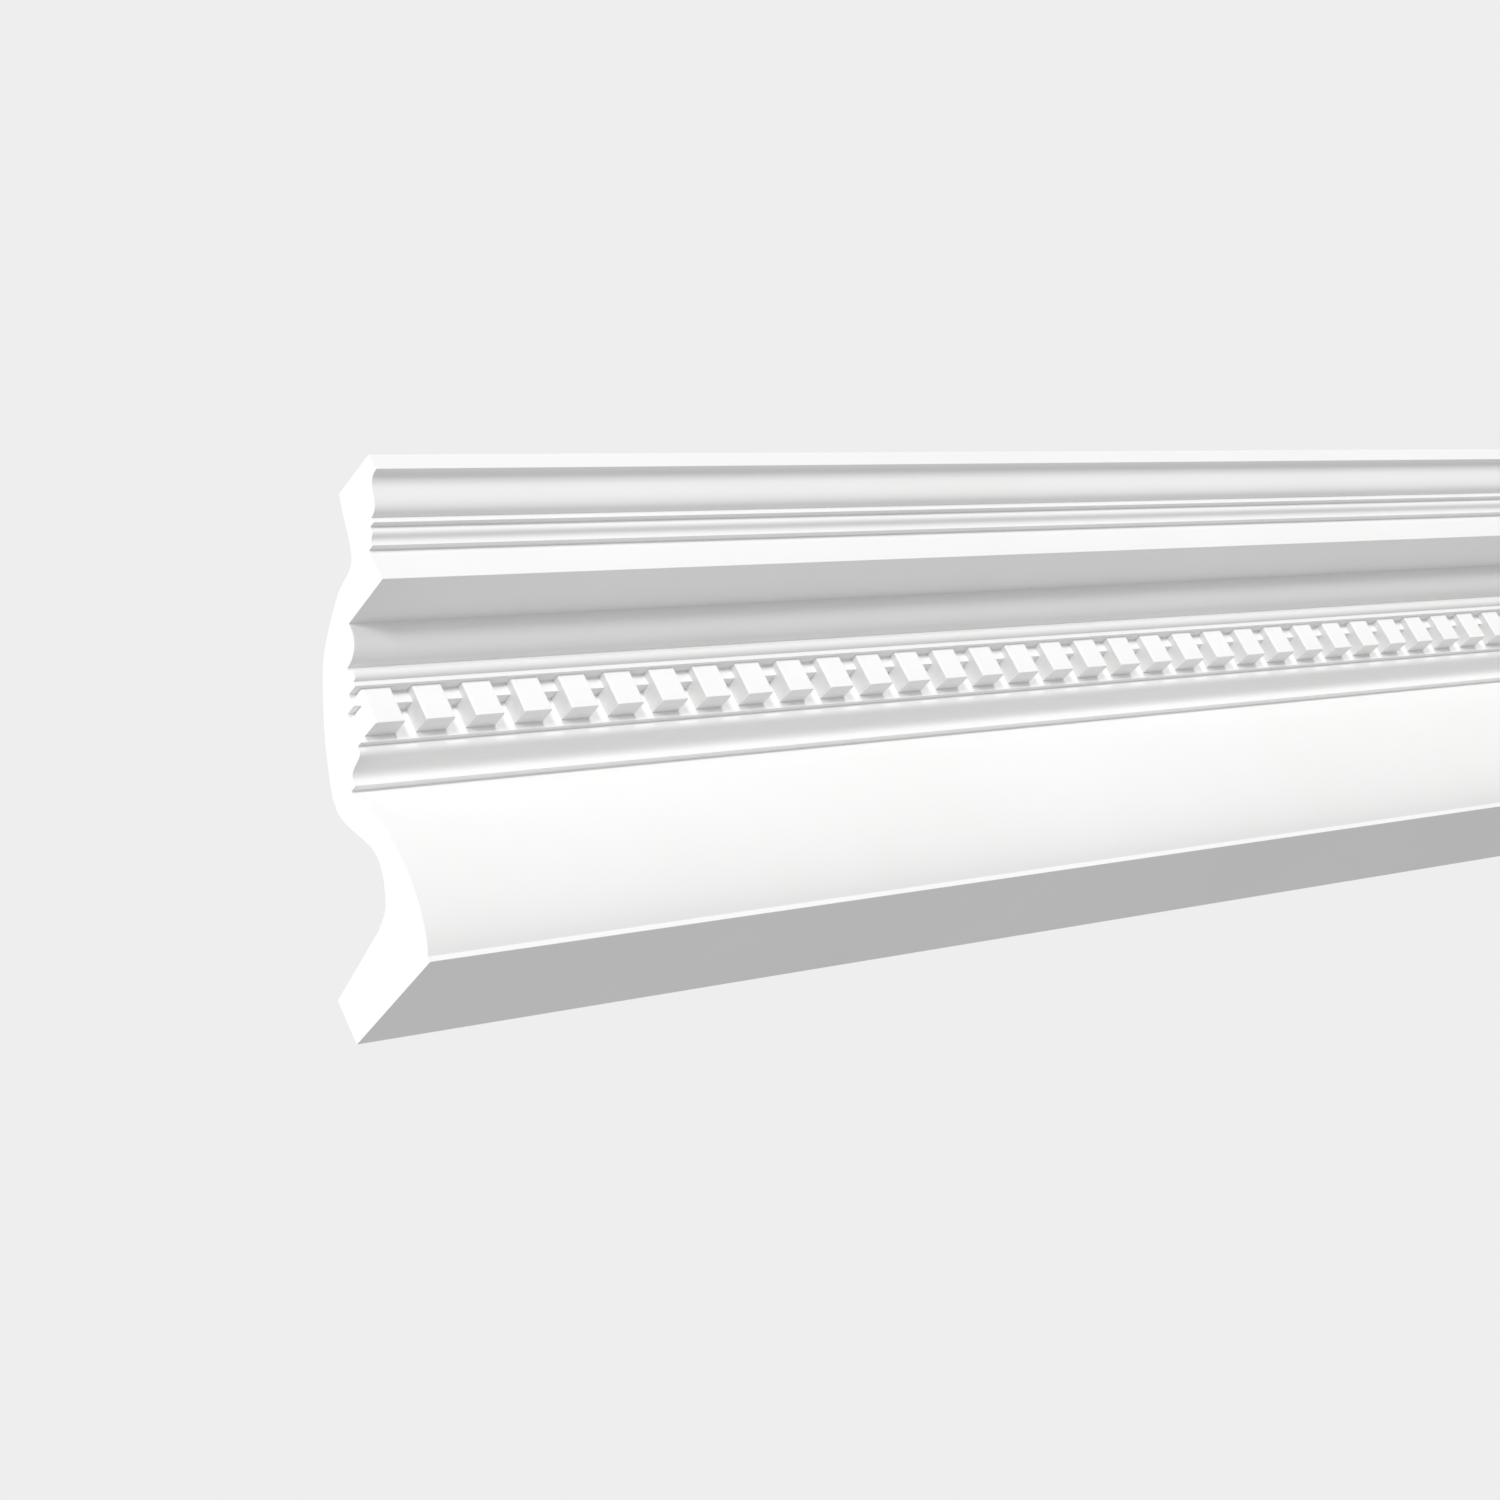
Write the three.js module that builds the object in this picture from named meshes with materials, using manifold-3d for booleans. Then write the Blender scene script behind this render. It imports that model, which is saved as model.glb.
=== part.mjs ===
// Cornice moulding length with a dentil course, cast in one piece in rigid foam and cut square at both ends.
//
// Millimetres, +Z up. The length runs along X. The wall contact face lies in the plane y = 0 and faces +Y,
// so the moulded front looks towards -Y and the ceiling contact face looks up. The origin is the centre of
// the wall contact face.
//
// The section is drawn from the wall outwards and from the bottom upwards: "out" is the distance from the
// wall, "up" is the height above the bottom edge. Each member starts where the one below it ends, so the
// drop and the projection are the sums of the members.
import * as THREE from 'three';
import { mergeVertices } from 'three/addons/utils/BufferGeometryUtils.js';
import Module from 'manifold-3d';

// The run
const LENGTH = 1000;

// Contact faces and the foot
const WALL_FACE = 18.4;          // height of the wall contact face
const BOTTOM_DEPTH = 56.6;       // depth of the flat underside, from the wall to the nosing
const UNDERSIDE_RISE = 1.2;      // degrees by which the two deep undersides rise towards the front
const NOSING_HEIGHT = 2.1;       // plain vertical edge under the belly

// Belly: a tall convex member, an arc of an ellipse
const BELLY_HEIGHT = 67.8;       // between the two levels where it is as deep as the nosing
const BELLY_BULGE = 9.1;         // how far it stands out in front of the nosing
const BELLY_SWEEP = 61;          // degrees of the ellipse from its fullest point to those levels
const BELLY_OVERRUN = 4.5;       // degrees by which it runs on above, into the groove under the bed mould
const QUIRK_HEIGHT = 0.73;       // upright back of that groove

// Bed mould under the dentils: fillet, cyma reversa and step
const BED_FILLET_OUT = 3.34;
const BED_FILLET_HEIGHT = 1.9;
const REVERSA_OUT = 10.1;
const REVERSA_HEIGHT = 7.4;
const REVERSA_EDGE = 1.1;        // plain vertical edge above the cyma reversa
const BED_STEP = 2.2;            // underside from the cyma reversa out to the dentil bed

// Dentil course
const BED_HEIGHT = 12.5;         // flat band behind the blocks
const BAR_OUT = 5.0;             // the bar that links the blocks stands out from the band by this
const BAR_HEIGHT = 5.0;
const NECK_STEP = 5.15;          // underside from the bar out to the fillet above the blocks
const PITCH = 1000/44;           // from one block to the next
const FIRST_BLOCK = 2.9;         // from the left end to the first block
const BLOCK_WIDTH = 13.7;        // at the band
const BLOCK_TAPER = 0.3;         // by which each side narrows towards the front
const BLOCK_SETBACK = 1.85;      // block fronts behind the fillet above them
const BLOCK_CLEARANCE = 2.7;     // band left bare under the blocks
const BLOCK_EDGE_RADIUS = 0.6;   // rounding of the upright front edges

// Neck above the dentils: fillet, bead and ovolo
const NECK_FILLET_HEIGHT = 1.9;
const BEAD_RADIUS = 2.25;
const BEAD_QUIRK = 1.5;          // plain vertical edge above the bead
const OVOLO_OUT = 10.7;
const OVOLO_HEIGHT = 10.0;
const OVOLO_EDGE = 1.7;          // plain vertical edge above the ovolo

// Corona: deep underside and flat fascia
const CORONA_DEPTH = 26.3;
const FASCIA_HEIGHT = 12.5;

// Crown: step, small reversa, step, fillet, cyma recta and top fillet
const CROWN_STEP_LOW = 2.7;
const SMALL_REVERSA_OUT = 3.0;
const SMALL_REVERSA_HEIGHT = 4.9;
const SMALL_REVERSA_EDGE = 1.1;
const CROWN_STEP_HIGH = 2.5;
const CROWN_FILLET_HEIGHT = 2.2;
const RECTA_OUT = 12.3;
const RECTA_HEIGHT = 11.3;
const TOP_FILLET_OUT = 0.85;
const TOP_FILLET_HEIGHT = 6.75;
const TOP_EDGE_RADIUS = 0.8;

// Thickness from the front members to the hollowed back
const CEILING_FACE = 23.3;       // depth of the ceiling contact face
const FOOT_END = 19.0;           // from the nosing back to the end of the foot's flat upper side
const FOOT_END_THICKNESS = 25.4; // height of that end above the bottom edge
const FOOT_BEND = 9.2;           // from the nosing back to the middle of the bend up into the belly
const FOOT_BEND_THICKNESS = 31.1;
const BELLY_THICKNESS = 12.3;
const BELLY_BEND = 10.5;         // the back comes furthest forward this far above the belly's middle
const QUIRK_THICKNESS = 11.9;
const BED_THICKNESS = 21.2;
const NECK_THICKNESS = 21.8;
const OVOLO_THICKNESS = 19.5;
const CORONA_THICKNESS = 11.4;
const FASCIA_THICKNESS = 12.9;
const FASCIA_BEND = 14.5;        // height above the fascia's lower edge of the bend behind it
const CROWN_THICKNESS = 16.4;
const TOP_THICKNESS = 25.9;

// How finely the round stretches are drawn
const CURVE_STEPS = 8;
const EDGE_STEPS = 3;

const EMBED = 1.5;               // how far a block runs into the moulding behind and above it
const MERGE_DISTANCE = 1e-4;     // corners closer than this are one
const HANDLE_LONG = 0.75;        // pull of a cyma's ends, as shares of its height or its projection
const HANDLE_SHORT = 0.62;

const rise = depth => depth*Math.tan(THREE.MathUtils.degToRad(UNDERSIDE_RISE));

// The ellipse of the belly and the place of the ends of its arc, in radians.
function bellyArc(foot) {
  const sweep = THREE.MathUtils.degToRad(BELLY_SWEEP);
  const halfDepth = BELLY_BULGE/(1 - Math.cos(sweep));
  const halfHeight = BELLY_HEIGHT/2/Math.sin(sweep);
  const centre = { out: foot.out + BELLY_BULGE - halfDepth, up: foot.up + BELLY_HEIGHT/2 };
  const end = sweep + THREE.MathUtils.degToRad(BELLY_OVERRUN);
  return { centre, halfDepth, halfHeight, start: -sweep, end };
}

// Where each member of the front starts, added up from the wall and from the bottom edge.
function frontLevels() {
  const nosing = { out: BOTTOM_DEPTH, up: rise(BOTTOM_DEPTH) };
  const bellyFoot = { out: nosing.out, up: nosing.up + NOSING_HEIGHT };
  const arc = bellyArc(bellyFoot);
  const bellyTop = {
    out: arc.centre.out + arc.halfDepth*Math.cos(arc.end),
    up: arc.centre.up + arc.halfHeight*Math.sin(arc.end),
  };
  const quirk = { out: bellyTop.out, up: bellyTop.up + QUIRK_HEIGHT };
  const bedFillet = { out: quirk.out + BED_FILLET_OUT, up: quirk.up + BED_FILLET_HEIGHT };
  const reversa = { out: bedFillet.out + REVERSA_OUT, up: bedFillet.up + REVERSA_HEIGHT };
  const bed = { out: reversa.out + BED_STEP, up: reversa.up + REVERSA_EDGE };
  const bar = { out: bed.out + BAR_OUT, up: bed.up + BED_HEIGHT };
  const neck = { out: bar.out + NECK_STEP, up: bar.up + BAR_HEIGHT };
  const bead = { out: neck.out, up: neck.up + NECK_FILLET_HEIGHT };
  const ovolo = { out: neck.out, up: bead.up + 2*BEAD_RADIUS + BEAD_QUIRK };
  const ovoloTop = { out: ovolo.out + OVOLO_OUT, up: ovolo.up + OVOLO_HEIGHT };
  const corona = { out: ovoloTop.out, up: ovoloTop.up + OVOLO_EDGE };
  const fascia = { out: corona.out + CORONA_DEPTH, up: corona.up + rise(CORONA_DEPTH) };
  const crown = { out: fascia.out + CROWN_STEP_LOW, up: fascia.up + FASCIA_HEIGHT };
  const smallReversa = { out: crown.out + SMALL_REVERSA_OUT, up: crown.up + SMALL_REVERSA_HEIGHT };
  const crownFillet = { out: smallReversa.out + CROWN_STEP_HIGH, up: smallReversa.up + SMALL_REVERSA_EDGE };
  const recta = { out: crownFillet.out, up: crownFillet.up + CROWN_FILLET_HEIGHT };
  const topFillet = { out: recta.out + RECTA_OUT + TOP_FILLET_OUT, up: recta.up + RECTA_HEIGHT };
  const ceiling = { out: topFillet.out, up: topFillet.up + TOP_FILLET_HEIGHT };
  return { nosing, bellyFoot, bellyTop, quirk, bedFillet, reversa, bed, bar, neck, bead, ovolo, ovoloTop,
    corona, fascia, crown, smallReversa, crownFillet, recta, topFillet, ceiling };
}

// A cyma reversa rises upright, swings outwards and ends upright again.
function addReversa(outline, from, to) {
  const height = to.up - from.up;
  outline.lineTo(from.out, from.up);
  outline.bezierCurveTo(from.out, from.up + HANDLE_LONG*height, to.out, to.up - HANDLE_SHORT*height, to.out, to.up);
}

// A cyma recta leaves level, turns upright and ends level again.
function addRecta(outline, from, out, height) {
  const end = { out: from.out + out, up: from.up + height };
  outline.lineTo(from.out, from.up);
  outline.bezierCurveTo(from.out + HANDLE_SHORT*out, from.up, end.out - HANDLE_SHORT*out, end.up, end.out, end.up);
}

function addBelly(outline, front) {
  const { centre, halfDepth, halfHeight, start, end } = bellyArc(front.bellyFoot);
  outline.lineTo(front.bellyFoot.out, front.bellyFoot.up);
  outline.absellipse(centre.out, centre.up, halfDepth, halfHeight, start, end, false, 0);
}

function addFront(outline, front) {
  outline.lineTo(front.nosing.out, front.nosing.up);
  addBelly(outline, front);
  outline.lineTo(front.quirk.out, front.quirk.up);
  outline.lineTo(front.bedFillet.out, front.quirk.up);
  addReversa(outline, front.bedFillet, front.reversa);
  outline.lineTo(front.reversa.out, front.bed.up);
  outline.lineTo(front.bed.out, front.bed.up);
  outline.lineTo(front.bed.out, front.bar.up);
  outline.lineTo(front.bar.out, front.bar.up);
  outline.lineTo(front.bar.out, front.neck.up);
  outline.lineTo(front.neck.out, front.neck.up);
  outline.lineTo(front.bead.out, front.bead.up);
  outline.absarc(front.bead.out, front.bead.up + BEAD_RADIUS, BEAD_RADIUS, -Math.PI/2, Math.PI/2, false);
  outline.lineTo(front.ovolo.out, front.ovolo.up);
  outline.absellipse(front.ovolo.out, front.ovoloTop.up, OVOLO_OUT, OVOLO_HEIGHT, -Math.PI/2, 0, false, 0);
  outline.lineTo(front.corona.out, front.corona.up);
  outline.lineTo(front.fascia.out, front.fascia.up);
  outline.lineTo(front.fascia.out, front.crown.up);
  outline.lineTo(front.crown.out, front.crown.up);
  addReversa(outline, front.crown, front.smallReversa);
  outline.lineTo(front.smallReversa.out, front.crownFillet.up);
  outline.lineTo(front.crownFillet.out, front.crownFillet.up);
  addRecta(outline, front.recta, RECTA_OUT, RECTA_HEIGHT);
  outline.lineTo(front.topFillet.out, front.topFillet.up);
  outline.absarc(front.ceiling.out - TOP_EDGE_RADIUS, front.ceiling.up - TOP_EDGE_RADIUS, TOP_EDGE_RADIUS,
    0, Math.PI/2, false);
}

// The back follows the front from the ceiling face down to the wall face, one bend behind each main member.
function addBack(outline, front) {
  const bellyMiddle = front.bellyFoot.up + BELLY_HEIGHT/2;
  const bellyShoulder = front.bellyFoot.up + BELLY_HEIGHT;
  outline.lineTo(front.ceiling.out - CEILING_FACE, front.ceiling.up);
  outline.splineThru([
    new THREE.Vector2(front.topFillet.out - TOP_THICKNESS, front.topFillet.up),
    new THREE.Vector2(front.crownFillet.out - CROWN_THICKNESS, front.recta.up),
    new THREE.Vector2(front.fascia.out - FASCIA_THICKNESS, front.fascia.up + FASCIA_BEND),
    new THREE.Vector2(front.corona.out, front.corona.up + CORONA_THICKNESS),
    new THREE.Vector2(front.corona.out - OVOLO_THICKNESS, front.corona.up),
    new THREE.Vector2(front.neck.out - NECK_THICKNESS, front.bead.up + BEAD_RADIUS),
    new THREE.Vector2(front.bed.out - BED_THICKNESS, front.bed.up + BED_HEIGHT/2),
    new THREE.Vector2(front.quirk.out - QUIRK_THICKNESS, bellyShoulder),
    new THREE.Vector2(front.bellyFoot.out + BELLY_BULGE - BELLY_THICKNESS, bellyMiddle + BELLY_BEND),
    new THREE.Vector2(front.nosing.out - FOOT_BEND, FOOT_BEND_THICKNESS),
    new THREE.Vector2(front.nosing.out - FOOT_END, FOOT_END_THICKNESS),
  ]);
  outline.lineTo(0, WALL_FACE);
}

function profileOutline() {
  const front = frontLevels();
  const outline = new THREE.Shape();
  outline.moveTo(0, 0);
  addFront(outline, front);
  addBack(outline, front);
  outline.lineTo(0, 0);
  return outline;
}

// Turns a solid drawn as (out, up, along) so that out is -Y, up is +Z and along runs back along -X.
const SECTION_TO_PART = new THREE.Matrix4().makeBasis(
  new THREE.Vector3(0, -1, 0), new THREE.Vector3(0, 0, 1), new THREE.Vector3(-1, 0, 0));

// Turns a solid drawn as (along, out, down) so that along is +X, out is -Y and down is -Z.
const PLAN_TO_PART = new THREE.Matrix4().makeBasis(
  new THREE.Vector3(1, 0, 0), new THREE.Vector3(0, -1, 0), new THREE.Vector3(0, 0, -1));

function runGeometry() {
  const outline = new THREE.Shape(profileOutline().getPoints(CURVE_STEPS));
  const run = new THREE.ExtrudeGeometry(outline, { depth: LENGTH, steps: 1, bevelEnabled: false });
  run.applyMatrix4(SECTION_TO_PART);
  run.translate(LENGTH/2, 0, -WALL_FACE/2);
  return run;
}

// One dentil: its plan has sides that taper to a front with rounded corners, and it is as high as the band
// behind it less the clearance, up to the underside above it.
function blockGeometry(front) {
  const depth = front.neck.out - BLOCK_SETBACK - front.bed.out;
  const backHalf = BLOCK_WIDTH/2;
  const frontHalf = backHalf - BLOCK_TAPER;
  const radius = BLOCK_EDGE_RADIUS;
  const plan = new THREE.Shape();
  plan.moveTo(-backHalf, -EMBED);
  plan.lineTo(backHalf, -EMBED);
  plan.lineTo(backHalf, 0);
  plan.absarc(frontHalf - radius, depth - radius, radius, 0, Math.PI/2, false);
  plan.absarc(radius - frontHalf, depth - radius, radius, Math.PI/2, Math.PI, false);
  plan.lineTo(-backHalf, 0);
  const bottom = front.bed.up + BLOCK_CLEARANCE;
  const top = front.neck.up + EMBED;
  const outline = new THREE.Shape(plan.getPoints(EDGE_STEPS));
  const block = new THREE.ExtrudeGeometry(outline, { depth: top - bottom, steps: 1, bevelEnabled: false });
  block.applyMatrix4(PLAN_TO_PART);
  block.translate(0, -front.bed.out, top - WALL_FACE/2);
  return block;
}

// The centres of the blocks that stand whole between the two ends.
function blockCentres() {
  const centres = [];
  for (let left = FIRST_BLOCK; left + BLOCK_WIDTH <= LENGTH; left += PITCH) {
    centres.push(left + BLOCK_WIDTH/2 - LENGTH/2);
  }
  return centres;
}

const wasm = await Module();
wasm.setup();

function solidFrom(geometry) {
  const bare = geometry.clone();
  bare.deleteAttribute('normal');
  bare.deleteAttribute('uv');
  const merged = mergeVertices(bare, MERGE_DISTANCE);
  return new wasm.Manifold(new wasm.Mesh({
    numProp: 3,
    vertProperties: new Float32Array(merged.attributes.position.array),
    triVerts: new Uint32Array(merged.index.array),
  }));
}

function geometryFrom(solid) {
  const mesh = solid.getMesh();
  const geometry = new THREE.BufferGeometry();
  geometry.setAttribute('position', new THREE.BufferAttribute(new Float32Array(mesh.vertProperties), 3));
  geometry.setIndex(new THREE.BufferAttribute(new Uint32Array(mesh.triVerts), 1));
  geometry.computeVertexNormals();
  return geometry;
}

function corniceGeometry() {
  const block = blockGeometry(frontLevels());
  let cornice = solidFrom(runGeometry());
  for (const centre of blockCentres()) {
    cornice = cornice.add(solidFrom(block.clone().translate(centre, 0, 0)));
  }
  return geometryFrom(cornice);
}

const primedFoam = new THREE.MeshStandardMaterial({ color: 0xf3f3f2, roughness: 0.6, metalness: 0 });

const cornice = new THREE.Mesh(corniceGeometry(), primedFoam);
cornice.name = 'cornice_moulding';

const group = new THREE.Group();
group.add(cornice);
export default group;
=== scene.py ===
import math
import bpy
from mathutils import Euler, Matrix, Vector


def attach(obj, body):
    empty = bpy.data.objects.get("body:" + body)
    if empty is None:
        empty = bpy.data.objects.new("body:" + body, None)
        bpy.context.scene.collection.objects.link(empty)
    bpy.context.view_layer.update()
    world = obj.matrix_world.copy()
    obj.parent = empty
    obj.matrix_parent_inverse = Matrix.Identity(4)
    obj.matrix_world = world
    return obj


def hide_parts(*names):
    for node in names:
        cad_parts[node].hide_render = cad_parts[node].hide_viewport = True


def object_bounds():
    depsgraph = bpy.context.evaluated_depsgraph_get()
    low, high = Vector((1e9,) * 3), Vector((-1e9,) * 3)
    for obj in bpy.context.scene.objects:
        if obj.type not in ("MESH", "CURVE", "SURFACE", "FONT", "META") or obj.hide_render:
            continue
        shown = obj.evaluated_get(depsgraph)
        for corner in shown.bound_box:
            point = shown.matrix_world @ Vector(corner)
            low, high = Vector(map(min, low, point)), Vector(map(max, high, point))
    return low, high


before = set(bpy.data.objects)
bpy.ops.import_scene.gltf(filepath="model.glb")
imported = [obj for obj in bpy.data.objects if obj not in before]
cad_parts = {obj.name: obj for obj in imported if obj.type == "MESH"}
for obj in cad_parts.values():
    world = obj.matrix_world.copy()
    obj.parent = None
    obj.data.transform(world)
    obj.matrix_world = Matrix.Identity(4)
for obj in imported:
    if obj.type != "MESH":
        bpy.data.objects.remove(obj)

MM = 0.001
cad_low, cad_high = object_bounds()
LENGTH = cad_high.x - cad_low.x
WALL_SIDE = cad_high.y
BOTTOM_EDGE = cad_low.z

# Contact faces and the foot
WALL_FACE = 18.4
BOTTOM_DEPTH = 56.6
UNDERSIDE_RISE = 1.2             # climb of the flat undersides towards the front, degrees
NOSING_HEIGHT = 2.1

# Belly, an arc of an ellipse that runs on into the groove under the bed mould
BELLY_HEIGHT = 67.8
BELLY_BULGE = 9.1
BELLY_SWEEP = 61                 # how far the arc runs below and above its middle, degrees
BELLY_OVERRUN = 4.5              # how much further it runs at the top, degrees
QUIRK_HEIGHT = 0.73

# Bed mould
BED_FILLET_OUT = 3.34
BED_FILLET_HEIGHT = 1.9
REVERSA_OUT = 10.1
REVERSA_HEIGHT = 7.4
REVERSA_EDGE = 1.1
BED_STEP = 2.2

# Dentil course
BED_HEIGHT = 12.5
BAR_OUT = 5.0
BAR_HEIGHT = 5.0
NECK_STEP = 5.15
BLOCKS = 44
PITCH = LENGTH/MM/BLOCKS
FIRST_BLOCK = 2.9                # from the left end to the first block
BLOCK_WIDTH = 13.7
BLOCK_TAPER = 0.3                # how much narrower a block is at the front, on each side
BLOCK_SETBACK = 1.85             # from the front of the fillet above back to a block's front
BLOCK_CLEARANCE = 2.7            # from the lower edge of the band up to a block
BLOCK_EDGE_RADIUS = 0.6
BLOCK_EDGE_STEPS = 4
EMBED = 1.5                      # how far a block runs into the band behind it and into the neck

# Neck
NECK_FILLET_HEIGHT = 1.9
BEAD_RADIUS = 2.25
BEAD_QUIRK = 1.5
OVOLO_OUT = 10.7
OVOLO_HEIGHT = 10.0
OVOLO_EDGE = 1.7

# Corona
CORONA_DEPTH = 26.3
FASCIA_HEIGHT = 12.5

# Crown
CROWN_STEP_LOW = 2.7
SMALL_REVERSA_OUT = 3.0
SMALL_REVERSA_HEIGHT = 4.9
SMALL_REVERSA_EDGE = 1.1
CROWN_STEP_HIGH = 2.5
CROWN_FILLET_HEIGHT = 2.2
RECTA_OUT = 12.3
RECTA_HEIGHT = 11.3
TOP_FILLET_OUT = 0.85
TOP_FILLET_HEIGHT = 6.75
TOP_EDGE_RADIUS = 0.8
CEILING_FACE = 23.3

# Bends of the hollowed back, each measured from the member in front of it
FOOT_END = (19.0, 25.4)          # back from the nosing, and up from the bottom edge
FOOT_BEND = (9.2, 31.1)
BELLY_THICKNESS = 12.3
BELLY_BEND = 10.5                # above the belly's middle
QUIRK_THICKNESS = 11.9
BED_THICKNESS = 21.2
NECK_THICKNESS = 21.8
OVOLO_THICKNESS = 19.5
CORONA_THICKNESS = 11.4
FASCIA_THICKNESS = 12.9
FASCIA_BEND = 14.5               # above the fascia's lower edge
CROWN_THICKNESS = 16.4
TOP_THICKNESS = 25.9

# Finish of the moulded surface
CYMA_LONG = 0.75                 # pull at the foot of an upright cyma, as a share of its height
CYMA_SHORT = 0.62                # pull at a cyma's other ends, as a share of its height or reach
CURVE_STEPS = 24                 # straight steps along each drawn curve
MOULD_RADIUS = 0.32              # rounding that the mould leaves on every long edge
MOULD_STEPS = 3
CORNER_ANGLE = 28                # sharper turns of the outline than this get that rounding, degrees
SMOOTH_ANGLE = 35                # sharper edges than this stay crisp, degrees
BROAD_FACE_PULL = 100            # how much the broad faces rule the shading at an edge, 1 to 100

# Limits used while drawing and selecting
QUARTER_TURN = 90                # widest arc that one Bezier piece follows closely, degrees
SAME_PLACE = 0.01                # places nearer to each other than this are one, millimetres
FACING = 0.9                     # how squarely a face has to look to the front to be taken, 1 is exactly


def rise(depth):
    """How much an underside of this depth climbs towards the front."""
    return depth*math.tan(math.radians(UNDERSIDE_RISE))


class Outline:
    """A closed outline in (out, up), kept as Bezier points: corners, arcs of ellipses and cymas."""

    def __init__(self):
        self.points = []

    def corner(self, out, up):
        self.points.append({"at": (out, up), "before": None, "after": None})

    def _curve_to(self, end, pull_out, pull_in):
        self.points[-1]["after"] = pull_out
        self.points.append({"at": end, "before": pull_in, "after": None})

    def ellipse(self, centre, half_out, half_up, start, end):
        """An arc of an upright ellipse, from the angle start to the angle end, in degrees."""
        pieces = math.ceil(abs(end - start)/QUARTER_TURN)
        turn = math.radians(end - start)/pieces
        pull = 4/3*math.tan(turn/4)    # the handle's length, in radii, that follows a circle
        angle = math.radians(start)

        def place(a, along=0.0):
            return (centre[0] + half_out*(math.cos(a) - along*math.sin(a)),
                    centre[1] + half_up*(math.sin(a) + along*math.cos(a)))

        gap = Vector(place(angle)) - Vector(self.points[-1]["at"])
        if gap.length > SAME_PLACE:
            self.corner(*place(angle))
        for _ in range(pieces):
            self._curve_to(place(angle + turn), place(angle, pull), place(angle + turn, -pull))
            angle += turn

    def cyma_upright(self, end):
        """An S that leaves and arrives upright."""
        out, up = self.points[-1]["at"]
        height = end[1] - up
        self._curve_to(end, (out, up + CYMA_LONG*height), (end[0], end[1] - CYMA_SHORT*height))

    def cyma_level(self, end):
        """An S that leaves and arrives level."""
        out, up = self.points[-1]["at"]
        reach = CYMA_SHORT*(end[0] - out)
        self._curve_to(end, (out + reach, up), (end[0] - reach, end[1]))

    def through(self, knots):
        """A smooth curve from the last point through these, with the pull of a Catmull-Rom spline."""
        path = [self.points[-1]["at"]] + list(knots)
        for i in range(len(path) - 1):
            a, b = Vector(path[i]), Vector(path[i + 1])
            before = Vector(path[max(i - 1, 0)])
            after = Vector(path[min(i + 2, len(path) - 1)])
            self._curve_to(tuple(b), tuple(a + (b - before)/6), tuple(b - (after - a)/6))


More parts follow.
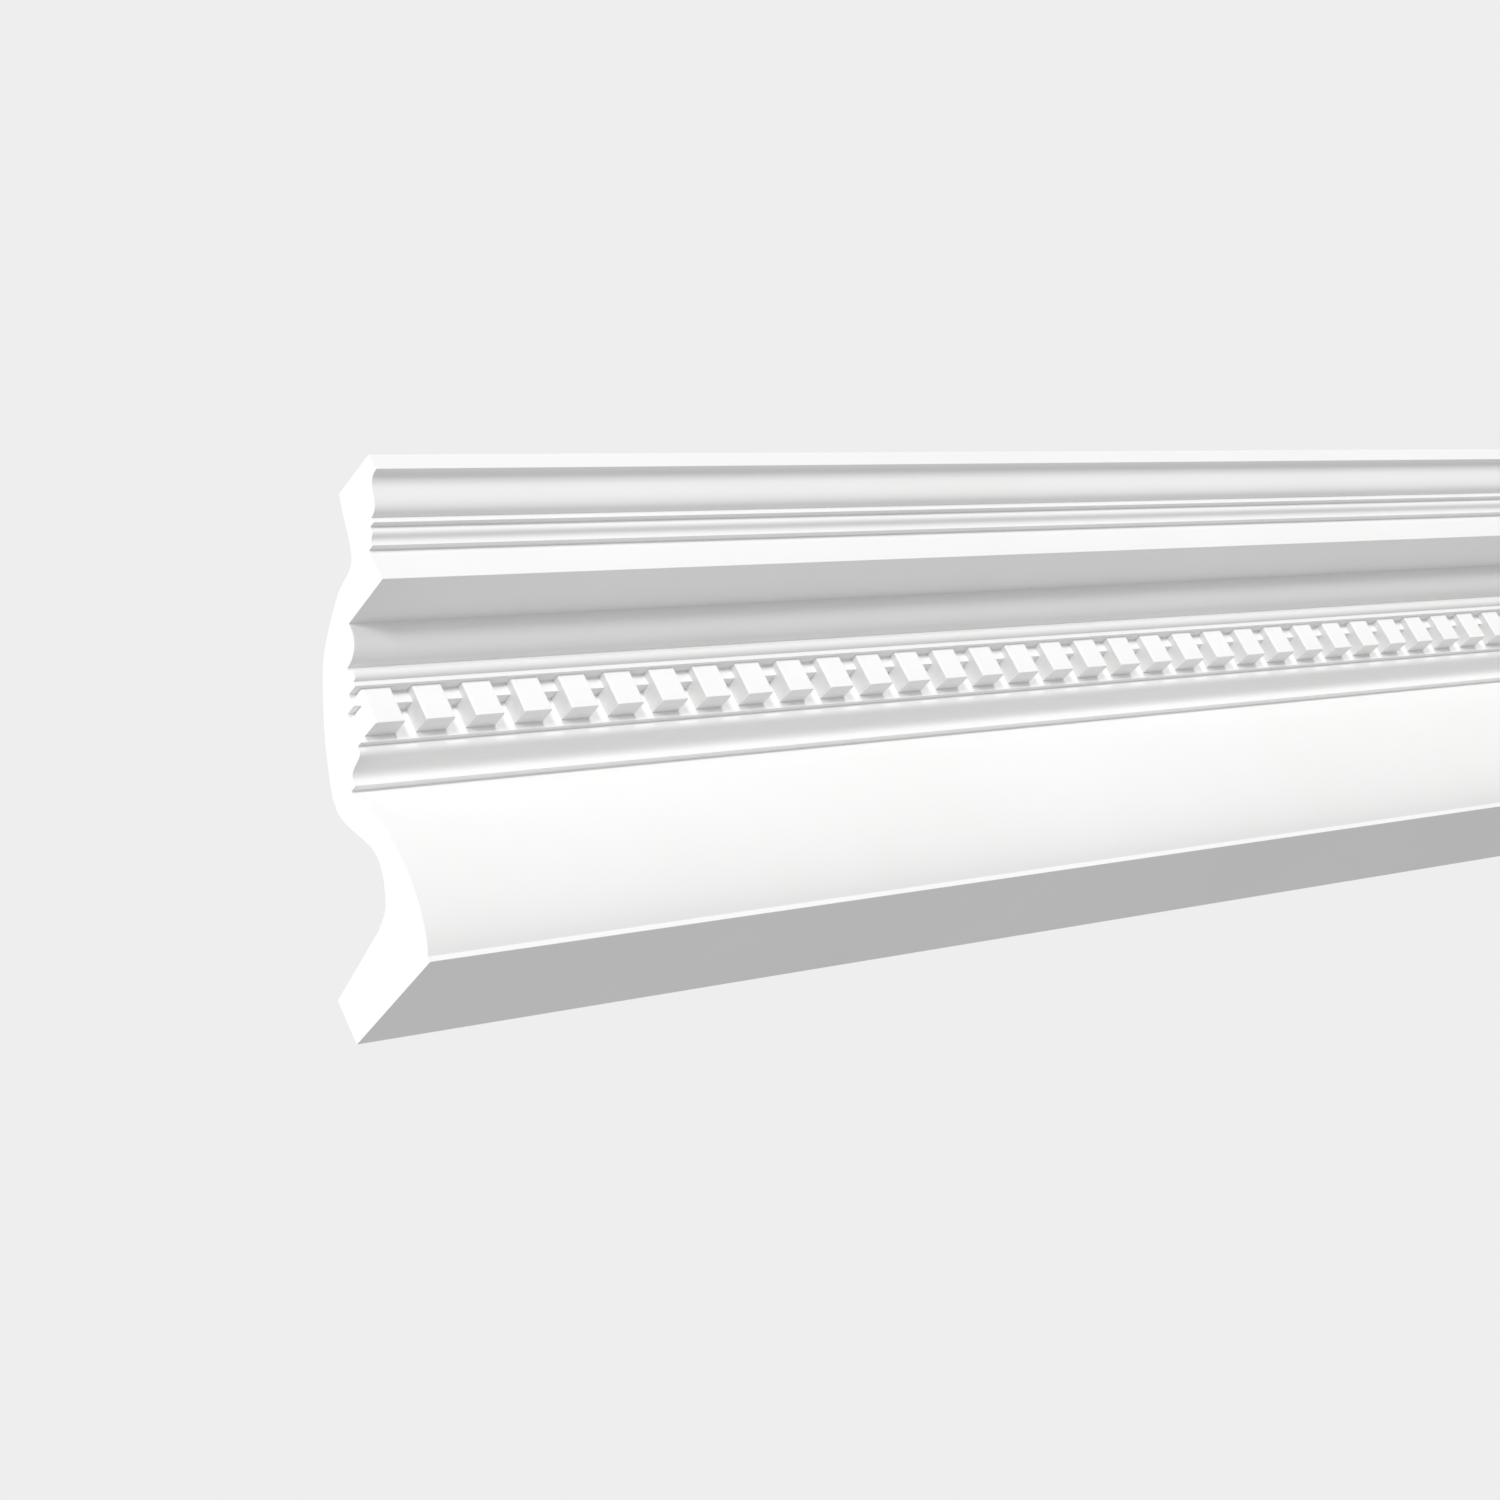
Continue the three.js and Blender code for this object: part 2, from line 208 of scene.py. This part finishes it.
def cornice_outline():
    """The section: out along the bottom, up the front, over the ceiling face and down the back."""
    # foot and belly
    line = Outline()
    line.corner(0, 0)
    out, up = BOTTOM_DEPTH, rise(BOTTOM_DEPTH)
    line.corner(out, up)
    up += NOSING_HEIGHT
    nosing_out = out
    sweep = math.radians(BELLY_SWEEP)
    half_out = BELLY_BULGE/(1 - math.cos(sweep))
    half_up = BELLY_HEIGHT/2/math.sin(sweep)
    belly_middle = up + BELLY_HEIGHT/2
    line.ellipse((out + BELLY_BULGE - half_out, belly_middle), half_out, half_up,
                 -BELLY_SWEEP, BELLY_SWEEP + BELLY_OVERRUN)
    belly_shoulder = up + BELLY_HEIGHT
    out, up = line.points[-1]["at"]

    # groove and bed mould
    quirk_out = out
    up += QUIRK_HEIGHT
    line.corner(out, up)
    out += BED_FILLET_OUT
    line.corner(out, up)
    up += BED_FILLET_HEIGHT
    line.corner(out, up)
    out, up = out + REVERSA_OUT, up + REVERSA_HEIGHT
    line.cyma_upright((out, up))
    up += REVERSA_EDGE
    line.corner(out, up)
    out += BED_STEP
    line.corner(out, up)
    bed = (out, up)

    # band behind the dentils and the bar above them
    up += BED_HEIGHT
    line.corner(out, up)
    out += BAR_OUT
    line.corner(out, up)
    up += BAR_HEIGHT
    line.corner(out, up)
    out += NECK_STEP
    line.corner(out, up)
    neck = (out, up)

    # neck fillet, bead and ovolo
    up += NECK_FILLET_HEIGHT
    bead_middle = up + BEAD_RADIUS
    line.ellipse((out, bead_middle), BEAD_RADIUS, BEAD_RADIUS, -90, 90)
    up += 2*BEAD_RADIUS + BEAD_QUIRK
    line.corner(out, up)
    line.ellipse((out, up + OVOLO_HEIGHT), OVOLO_OUT, OVOLO_HEIGHT, -90, 0)
    out, up = out + OVOLO_OUT, up + OVOLO_HEIGHT + OVOLO_EDGE
    line.corner(out, up)
    corona = (out, up)

    # corona
    out, up = out + CORONA_DEPTH, up + rise(CORONA_DEPTH)
    line.corner(out, up)
    fascia = (out, up)
    up += FASCIA_HEIGHT
    line.corner(out, up)

    # crown
    out += CROWN_STEP_LOW
    line.corner(out, up)
    out, up = out + SMALL_REVERSA_OUT, up + SMALL_REVERSA_HEIGHT
    line.cyma_upright((out, up))
    up += SMALL_REVERSA_EDGE
    line.corner(out, up)
    out += CROWN_STEP_HIGH
    line.corner(out, up)
    up += CROWN_FILLET_HEIGHT
    recta = (out, up)
    line.corner(out, up)
    out, up = out + RECTA_OUT, up + RECTA_HEIGHT
    line.cyma_level((out, up))
    out += TOP_FILLET_OUT
    line.corner(out, up)
    top_fillet = (out, up)
    up += TOP_FILLET_HEIGHT
    radius = TOP_EDGE_RADIUS
    line.ellipse((out - radius, up - radius), radius, radius, 0, 90)
    line.corner(out - CEILING_FACE, up)

    # hollowed back
    line.through([
        (top_fillet[0] - TOP_THICKNESS, top_fillet[1]),
        (recta[0] - CROWN_THICKNESS, recta[1]),
        (fascia[0] - FASCIA_THICKNESS, fascia[1] + FASCIA_BEND),
        (corona[0], corona[1] + CORONA_THICKNESS),
        (corona[0] - OVOLO_THICKNESS, corona[1]),
        (neck[0] - NECK_THICKNESS, bead_middle),
        (bed[0] - BED_THICKNESS, bed[1] + BED_HEIGHT/2),
        (quirk_out - QUIRK_THICKNESS, belly_shoulder),
        (nosing_out + BELLY_BULGE - BELLY_THICKNESS, belly_middle + BELLY_BEND),
        (nosing_out - FOOT_BEND[0], FOOT_BEND[1]),
        (nosing_out - FOOT_END[0], FOOT_END[1]),
    ])
    line.corner(0, WALL_FACE)
    return line, bed, neck


def deselect_all():
    """Leaves edit mode and selects nothing."""
    if bpy.context.object and bpy.context.object.mode != "OBJECT":
        bpy.ops.object.mode_set(mode="OBJECT")
    bpy.ops.object.select_all(action="DESELECT")


def pick(obj):
    """Makes obj the only selected and active object."""
    deselect_all()
    obj.select_set(True)
    bpy.context.view_layer.objects.active = obj


def apply_place(obj):
    """Moves obj's place, turn and scale into its own points."""
    pick(obj)
    bpy.ops.object.transform_apply(location=True, rotation=True, scale=True)


def draw_curve(line):
    """Draws the outline as one closed Bezier curve in its own plane, in metres."""
    deselect_all()
    bpy.ops.curve.primitive_bezier_curve_add(location=(0, 0, 0))
    curve = bpy.context.object
    curve.data.dimensions = "2D"
    curve.data.fill_mode = "NONE"
    curve.data.resolution_u = CURVE_STEPS
    spline = curve.data.splines[0]
    spline.bezier_points.add(len(line.points) - len(spline.bezier_points))
    spline.use_cyclic_u = True
    for point, drawn in zip(line.points, spline.bezier_points):
        drawn.co = Vector((*point["at"], 0))*MM
        for side, type_name, handle in (("before", "handle_left_type", "handle_left"),
                                        ("after", "handle_right_type", "handle_right")):
            if point[side] is None:
                setattr(drawn, type_name, "VECTOR")
            else:
                setattr(drawn, type_name, "FREE")
                setattr(drawn, handle, Vector((*point[side], 0))*MM)
    return curve


def round_corners(obj):
    """Rounds the outline's sharp corners as the mould does."""
    mesh = obj.data
    pick(obj)
    bpy.ops.object.mode_set(mode="EDIT")
    bpy.ops.mesh.select_all(action="SELECT")
    bpy.ops.mesh.remove_doubles(threshold=SAME_PLACE*MM)
    bpy.ops.mesh.select_all(action="DESELECT")
    bpy.ops.object.mode_set(mode="OBJECT")
    ends = {v.index: [] for v in mesh.vertices}
    for edge in mesh.edges:
        a, b = edge.vertices
        ends[a].append(b)
        ends[b].append(a)
    for v in mesh.vertices:
        a, b = (mesh.vertices[i].co - v.co for i in ends[v.index])
        v.select = (-a).angle(b) > math.radians(CORNER_ANGLE)
    bpy.ops.object.mode_set(mode="EDIT")
    bpy.ops.mesh.select_mode(type="VERT")
    bpy.ops.mesh.bevel(affect="VERTICES", offset=MOULD_RADIUS*MM, segments=MOULD_STEPS, clamp_overlap=True)
    bpy.ops.object.mode_set(mode="OBJECT")


def run_of_moulding(line):
    """Fills the outline and extrudes it to the whole length, from the left end to the right."""
    run = draw_curve(line)
    pick(run)
    bpy.ops.object.convert(target="MESH")
    run = bpy.context.object
    round_corners(run)
    # what is drawn to the right now points out of the wall, and what is drawn up points up
    run.matrix_world = Euler((math.radians(90), 0, math.radians(-90))).to_matrix().to_4x4()
    run.location = (cad_low.x, WALL_SIDE, BOTTOM_EDGE)
    apply_place(run)
    bpy.ops.object.mode_set(mode="EDIT")
    bpy.ops.mesh.select_all(action="SELECT")
    bpy.ops.mesh.edge_face_add()
    bpy.ops.mesh.extrude_region_move(TRANSFORM_OT_translate={"value": (LENGTH, 0, 0)})
    bpy.ops.mesh.select_all(action="SELECT")
    bpy.ops.mesh.normals_make_consistent(inside=False)
    bpy.ops.object.mode_set(mode="OBJECT")
    return run


def select_none(obj, kind):
    """Leaves none of obj's faces or edges selected, so that the next lines can choose some."""
    pick(obj)
    bpy.ops.object.mode_set(mode="EDIT")
    bpy.ops.mesh.select_mode(type=kind)
    bpy.ops.mesh.select_all(action="DESELECT")
    bpy.ops.object.mode_set(mode="OBJECT")


def select_faces(obj, test):
    """Selects the faces whose normal passes the test, and stays in edit mode."""
    select_none(obj, "FACE")
    for face in obj.data.polygons:
        face.select = bool(test(face.normal))
    bpy.ops.object.mode_set(mode="EDIT")


def select_edges(obj, test):
    """Selects the edges whose two ends pass the test, and stays in edit mode."""
    select_none(obj, "EDGE")
    for edge in obj.data.edges:
        a, b = (obj.data.vertices[i].co for i in edge.vertices)
        edge.select = bool(test(a, b))
    bpy.ops.object.mode_set(mode="EDIT")


def dentil_block(bed, neck):
    """The first dentil: a cube made a block, narrowed to the front, with rounded edges."""
    depth = neck[0] - BLOCK_SETBACK - bed[0]
    bottom = bed[1] + BLOCK_CLEARANCE
    top = neck[1] + EMBED
    centre_x = cad_low.x + (FIRST_BLOCK + BLOCK_WIDTH/2)*MM
    deselect_all()
    bpy.ops.mesh.primitive_cube_add(size=1, location=(
        centre_x,
        WALL_SIDE - (bed[0] + (depth - EMBED)/2)*MM,
        BOTTOM_EDGE + (bottom + top)/2*MM))
    block = bpy.context.object
    block.name = "dentil"
    block.scale = (BLOCK_WIDTH*MM, (depth + EMBED)*MM, (top - bottom)*MM)
    apply_place(block)
    front = WALL_SIDE - (bed[0] + depth)*MM
    foot = BOTTOM_EDGE + bottom*MM
    near = SAME_PLACE*MM

    def upright_at_front(a, b):
        return abs(a.y - front) < near and abs(b.y - front) < near and abs(a.x - b.x) < near

    def underneath(a, b):
        clear_of_band = max(a.y, b.y) < WALL_SIDE - bed[0]*MM
        return clear_of_band and abs(a.z - foot) < near and abs(b.z - foot) < near

    select_faces(block, lambda normal: normal.y < -FACING)
    share = 1 - 2*BLOCK_TAPER/BLOCK_WIDTH
    bpy.ops.transform.resize(value=(share, 1, 1), center_override=(centre_x, front, 0))
    bpy.ops.object.mode_set(mode="OBJECT")
    select_edges(block, upright_at_front)
    bpy.ops.mesh.bevel(offset=BLOCK_EDGE_RADIUS*MM, segments=BLOCK_EDGE_STEPS, affect="EDGES")
    bpy.ops.object.mode_set(mode="OBJECT")
    select_edges(block, underneath)
    bpy.ops.mesh.bevel(offset=MOULD_RADIUS*MM, segments=MOULD_STEPS, affect="EDGES")
    bpy.ops.object.mode_set(mode="OBJECT")
    return block


def dentil_course(bed, neck):
    """The first block copied along the length and joined into one mesh."""
    first = dentil_block(bed, neck)
    pick(first)
    row = first.modifiers.new("course", "ARRAY")
    row.use_relative_offset = False
    row.use_constant_offset = True
    row.constant_offset_displace = (PITCH*MM, 0, 0)
    row.count = BLOCKS
    bpy.ops.object.modifier_apply(modifier=row.name)
    return first


def unite(run, course):
    """Makes the run and its dentils one closed shape."""
    pick(run)
    union = run.modifiers.new("dentils", "BOOLEAN")
    union.operation = "UNION"
    union.solver = "EXACT"
    union.use_self = False
    union.object = course
    bpy.ops.object.modifier_apply(modifier=union.name)
    bpy.data.objects.remove(course, do_unlink=True)


def smooth(obj):
    """Smooth shading over the curves, crisp sharp edges, and flat faces that stay flat."""
    pick(obj)
    bpy.ops.object.shade_smooth_by_angle(angle=math.radians(SMOOTH_ANGLE))
    weighted = obj.modifiers.new("weighted", "WEIGHTED_NORMAL")
    weighted.keep_sharp = True
    weighted.weight = BROAD_FACE_PULL
    bpy.ops.object.modifier_apply(modifier=weighted.name)


line, bed, neck = cornice_outline()
cornice = run_of_moulding(line)
unite(cornice, dentil_course(bed, neck))
smooth(cornice)
cornice.name = "cornice"
cornice.data.name = "cornice"
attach(cornice, "root")
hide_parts("cornice_moulding")


class Link:
    """A shader socket that takes part in sums, so that an expression adds its own Math nodes."""

    def __init__(self, shader, socket):
        self.shader = shader
        self.socket = socket

    def _maths(self, operation, first, second):
        return self.shader.node("Math", {"operation": operation}, {0: first, 1: second})[0]

    def __add__(self, other):
        return self._maths("ADD", self, other)

    def __radd__(self, other):
        return self._maths("ADD", other, self)

    def __sub__(self, other):
        return self._maths("SUBTRACT", self, other)

    def __rsub__(self, other):
        return self._maths("SUBTRACT", other, self)

    def __mul__(self, other):
        return self._maths("MULTIPLY", self, other)

    def __rmul__(self, other):
        return self._maths("MULTIPLY", other, self)

    def __gt__(self, other):
        return self._maths("GREATER_THAN", self, other)

    def size(self):
        return self.shader.node("Math", {"operation": "ABSOLUTE"}, {0: self})[0]


class Shader:
    """The node tree of one material or of the world."""

    # numbers of a Mix node's sockets for colours: three that go in and one that comes out
    MIX_SHARE = 0
    MIX_FIRST = 6
    MIX_SECOND = 7
    MIX_COLOUR = 2

    def __init__(self, owner):
        owner.use_nodes = True
        self.tree = owner.node_tree
        self.tree.nodes.clear()

    def node(self, kind, settings=None, inputs=None):
        """Adds a node with its settings, then its sockets' values or links, and gives its outputs."""
        made = self.tree.nodes.new("ShaderNode" + kind)
        for name, value in (settings or {}).items():
            if name == "stops":
                self._set_stops(made.color_ramp, value)
            else:
                setattr(made, name, value)
        for name, value in (inputs or {}).items():
            if isinstance(value, Link):
                self.tree.links.new(value.socket, made.inputs[name])
            else:
                made.inputs[name].default_value = value
        return [Link(self, out) for out in made.outputs]

    def blend(self, share, first, second):
        """Goes from the first colour to the second as share goes from 0 to 1."""
        inputs = {self.MIX_SHARE: share, self.MIX_FIRST: first, self.MIX_SECOND: second}
        return self.node("Mix", {"data_type": "RGBA"}, inputs)[self.MIX_COLOUR]

    def _set_stops(self, ramp, stops):
        while len(ramp.elements) < len(stops):
            ramp.elements.new(1)
        for element, (position, value) in zip(ramp.elements, stops):
            element.position = position
            element.color = (value, value, value, 1)


# Sprayed primer and sawn foam
PRIMER = (0.885, 0.884, 0.882, 1)        # matt white primer
PRIMER_THIN = (0.865, 0.863, 0.859, 1)   # where it dried a little thinner
FOAM = (0.9, 0.898, 0.893, 1)            # the bare foam of the two sawn ends
SPECULAR = 0.35
PRIMER_ROUGHNESS = 0.48
THIN_ROUGHNESS = 0.06                    # most that is added where the primer is thin
SAWN_ROUGHNESS = 0.3                     # what is added on the sawn ends
CLOUD_SCALE = 9                          # patches of thinner primer, per metre
CLOUD_DETAIL = 3
CLOUD_BREAKUP = 0.55
CLOUD_EDGES = (0.35, 0.7)                # where a patch starts and where it is full
SPRAY_GRAIN = 420                        # fine orange peel of the sprayed primer, per metre
SPRAY_DETAIL = 2
SPRAY_BREAKUP = 0.5
SPRAY_HEIGHT = 0.25                      # height of the orange peel, as a share of the foam's cells
FOAM_CELL = 1500                         # cells of the foam where it is sawn, per metre
GRAIN_DEPTH = 0.05*MM
GRAIN_STRENGTH = 0.25
END_BAND = 0.02*MM                       # thickness of the layer taken as a sawn end
OBJECT_PLACE = 3                         # number of the Object output of Texture Coordinate


def primed_foam():
    """White primer over foam, with the foam's own fine cells on the two sawn ends."""
    material = bpy.data.materials.new("primed_foam")
    paint = Shader(material)
    place = paint.node("TexCoord")[OBJECT_PLACE]
    along = paint.node("SeparateXYZ", inputs={0: place})[0]
    sawn = along.size() > (LENGTH/2 - END_BAND)
    clouds = paint.node("TexNoise", inputs={
        "Vector": place, "Scale": CLOUD_SCALE, "Detail": CLOUD_DETAIL, "Roughness": CLOUD_BREAKUP})[0]
    thin = paint.node("ValToRGB", {"stops": list(zip(CLOUD_EDGES, (0, 1)))}, {0: clouds})[0]
    primer = paint.blend(thin, PRIMER, PRIMER_THIN)
    colour = paint.blend(sawn, primer, FOAM)
    spray = paint.node("TexNoise", inputs={
        "Vector": place, "Scale": SPRAY_GRAIN, "Detail": SPRAY_DETAIL, "Roughness": SPRAY_BREAKUP})[0]
    cells = paint.node("TexVoronoi", inputs={"Vector": place, "Scale": FOAM_CELL})[0]
    height = (1 - sawn)*spray*SPRAY_HEIGHT + sawn*cells
    bumped = paint.node("Bump", inputs={
        "Strength": GRAIN_STRENGTH, "Distance": GRAIN_DEPTH, "Height": height})[0]
    rough = PRIMER_ROUGHNESS + THIN_ROUGHNESS*clouds + SAWN_ROUGHNESS*sawn
    surface = paint.node("BsdfPrincipled", inputs={
        "Base Color": colour, "Roughness": rough, "Normal": bumped, "Specular IOR Level": SPECULAR})[0]
    paint.node("OutputMaterial", inputs={"Surface": surface})
    return material


cornice.data.materials.clear()
cornice.data.materials.append(primed_foam())

# Floor, in metres
FLOOR_LEVEL = -2.4
FLOOR_RADIUS = 9
FLOOR_SIDES = 128
FLOOR_GREY = (0.6, 0.6, 0.6, 1)
FLOOR_ROUGHNESS = 0.9


def pale_floor():
    """A plain pale round floor, far enough below the moulding to see it from underneath."""
    deselect_all()
    bpy.ops.mesh.primitive_circle_add(vertices=FLOOR_SIDES, radius=FLOOR_RADIUS, fill_type="NGON",
                                      location=(0, 0, FLOOR_LEVEL))
    floor = bpy.context.object
    floor.name = "floor"
    apply_place(floor)
    material = bpy.data.materials.new("floor_paint")
    paint = Shader(material)
    surface = paint.node("BsdfPrincipled", inputs={
        "Base Color": FLOOR_GREY, "Roughness": FLOOR_ROUGHNESS})[0]
    paint.node("OutputMaterial", inputs={"Surface": surface})
    floor.data.materials.append(material)


# Light
LAMP_SOFTNESS = 10                       # angle that each lamp fills, degrees
LAMP_DISTANCE = 3                        # where a lamp is put, metres: its light is the same from anywhere
LAMPS = {
    # name: degrees left of the front, degrees up, watts per square metre
    "front_low": (0, 14, 0.52),
    "front_mid": (0, 20, 0.24),
    "front_high": (0, 26, 0.55),
    "left_front_low": (35, 4, 0.3),
    "left_front": (35, 12, 0.84),
    "left": (90, 10, 1.65),
    "right": (-90, 15, 1.2),
    "behind": (180, 25, 1.2),
}
AMBIENT = 0.32                           # what the surround sheds on the moulding
BACKGROUND = 0.855                       # how bright it looks behind the moulding
WHITE = (1, 1, 1, 1)


def lamps():
    """Distant lamps round the moulding, with slightly soft shadows."""
    for name, (azimuth, elevation, strength) in LAMPS.items():
        deselect_all()
        turn, climb = math.radians(azimuth), math.radians(elevation)
        away = Vector((-math.sin(turn)*math.cos(climb), -math.cos(turn)*math.cos(climb), math.sin(climb)))
        bpy.ops.object.light_add(type="SUN", location=away*LAMP_DISTANCE)
        lamp = bpy.context.object
        lamp.name = name
        lamp.rotation_euler = away.to_track_quat("Z", "Y").to_euler()
        lamp.data.angle = math.radians(LAMP_SOFTNESS)
        lamp.data.energy = strength


def surroundings():
    """An even pale room, which sheds less light on the moulding than the camera sees."""
    world = bpy.data.worlds.new("pale_room")
    bpy.context.scene.world = world
    room = Shader(world)
    seen = room.node("LightPath")[0]
    light = room.node("Background", inputs={"Color": WHITE, "Strength": AMBIENT})[0]
    backdrop = room.node("Background", inputs={"Color": WHITE, "Strength": BACKGROUND})[0]
    mixed = room.node("MixShader", inputs={0: seen, 1: light, 2: backdrop})[0]
    room.node("OutputWorld", inputs={"Surface": mixed})
    bpy.context.scene.view_settings.view_transform = "Standard"


# Camera
CAMERA_PLACE = (-1.14309, -0.83791, -0.38433)    # metres
CAMERA_TURN = (113.7052, 24.8228, -36.5543)      # degrees
SENSOR = 36                                      # millimetres
LENS = 73.78                                     # millimetres


def camera():
    """The photograph's view: from below and to the left of the moulding's left end."""
    bpy.ops.object.camera_add(location=CAMERA_PLACE, rotation=[math.radians(a) for a in CAMERA_TURN])
    view = bpy.context.object
    view.data.sensor_width = SENSOR
    view.data.lens = LENS
    bpy.context.scene.camera = view


pale_floor()
lamps()
surroundings()
camera()
